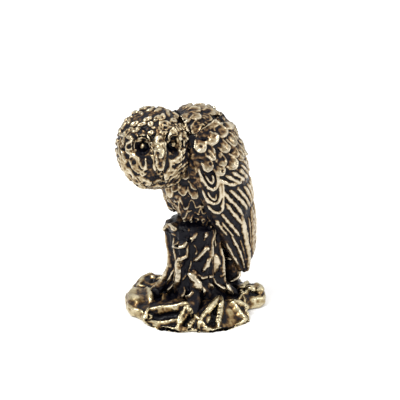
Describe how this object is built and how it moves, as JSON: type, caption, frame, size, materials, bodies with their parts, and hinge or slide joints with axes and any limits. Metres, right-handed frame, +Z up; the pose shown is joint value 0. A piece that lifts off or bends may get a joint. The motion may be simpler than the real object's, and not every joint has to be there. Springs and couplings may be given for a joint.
{
  "type": "owl figurine",
  "caption": "Small cast brass owl, hunched with its head turned to its left, perched on a flared tree stump over a plate of thick curled leaves.",
  "frame": {"origin": "centre of the ground plate's flat underside", "axes": "+Z up, the owl's breast and toes towards -Y, its tail towards +Y, its turned face looking towards +X"},
  "size_m": [0.0269, 0.0304, 0.0422],
  "materials": {
    "aged_brass": "cast, blackened in the recesses and rubbed bright on the ridges",
    "dark_brass": "cast, mostly black patina with a little rubbed brass"
  },
  "bodies": {
    "root": {"ground_plate": "dark_brass", "leaf_1": "aged_brass", "leaf_2": "aged_brass", "leaf_3": "aged_brass", "leaf_4": "aged_brass", "leaf_5": "aged_brass", "leaf_6": "aged_brass", "leaf_7": "aged_brass", "stump": "dark_brass", "root_1": "aged_brass", "root_2": "aged_brass", "root_3": "aged_brass", "root_4": "aged_brass", "root_5": "aged_brass", "body": "aged_brass", "mantle": "aged_brass", "head": "aged_brass", "left_face_disc": "aged_brass", "right_face_disc": "aged_brass", "left_eye": "dark_brass", "right_eye": "dark_brass", "beak": "aged_brass", "left_thigh": "aged_brass", "left_foot": "dark_brass", "right_thigh": "aged_brass", "right_foot": "dark_brass", "left_shoulder": "aged_brass", "left_coverts": "aged_brass", "left_primary_1": "aged_brass", "left_primary_2": "aged_brass", "left_primary_3": "aged_brass", "left_primary_4": "aged_brass", "left_primary_5": "aged_brass", "right_shoulder": "aged_brass", "right_coverts": "aged_brass", "right_primary_1": "aged_brass", "right_primary_2": "aged_brass", "right_primary_3": "aged_brass", "right_primary_4": "aged_brass", "right_primary_5": "aged_brass", "tail_left": "aged_brass", "tail_middle": "aged_brass", "tail_right": "aged_brass"}
  },
  "joints": []
}
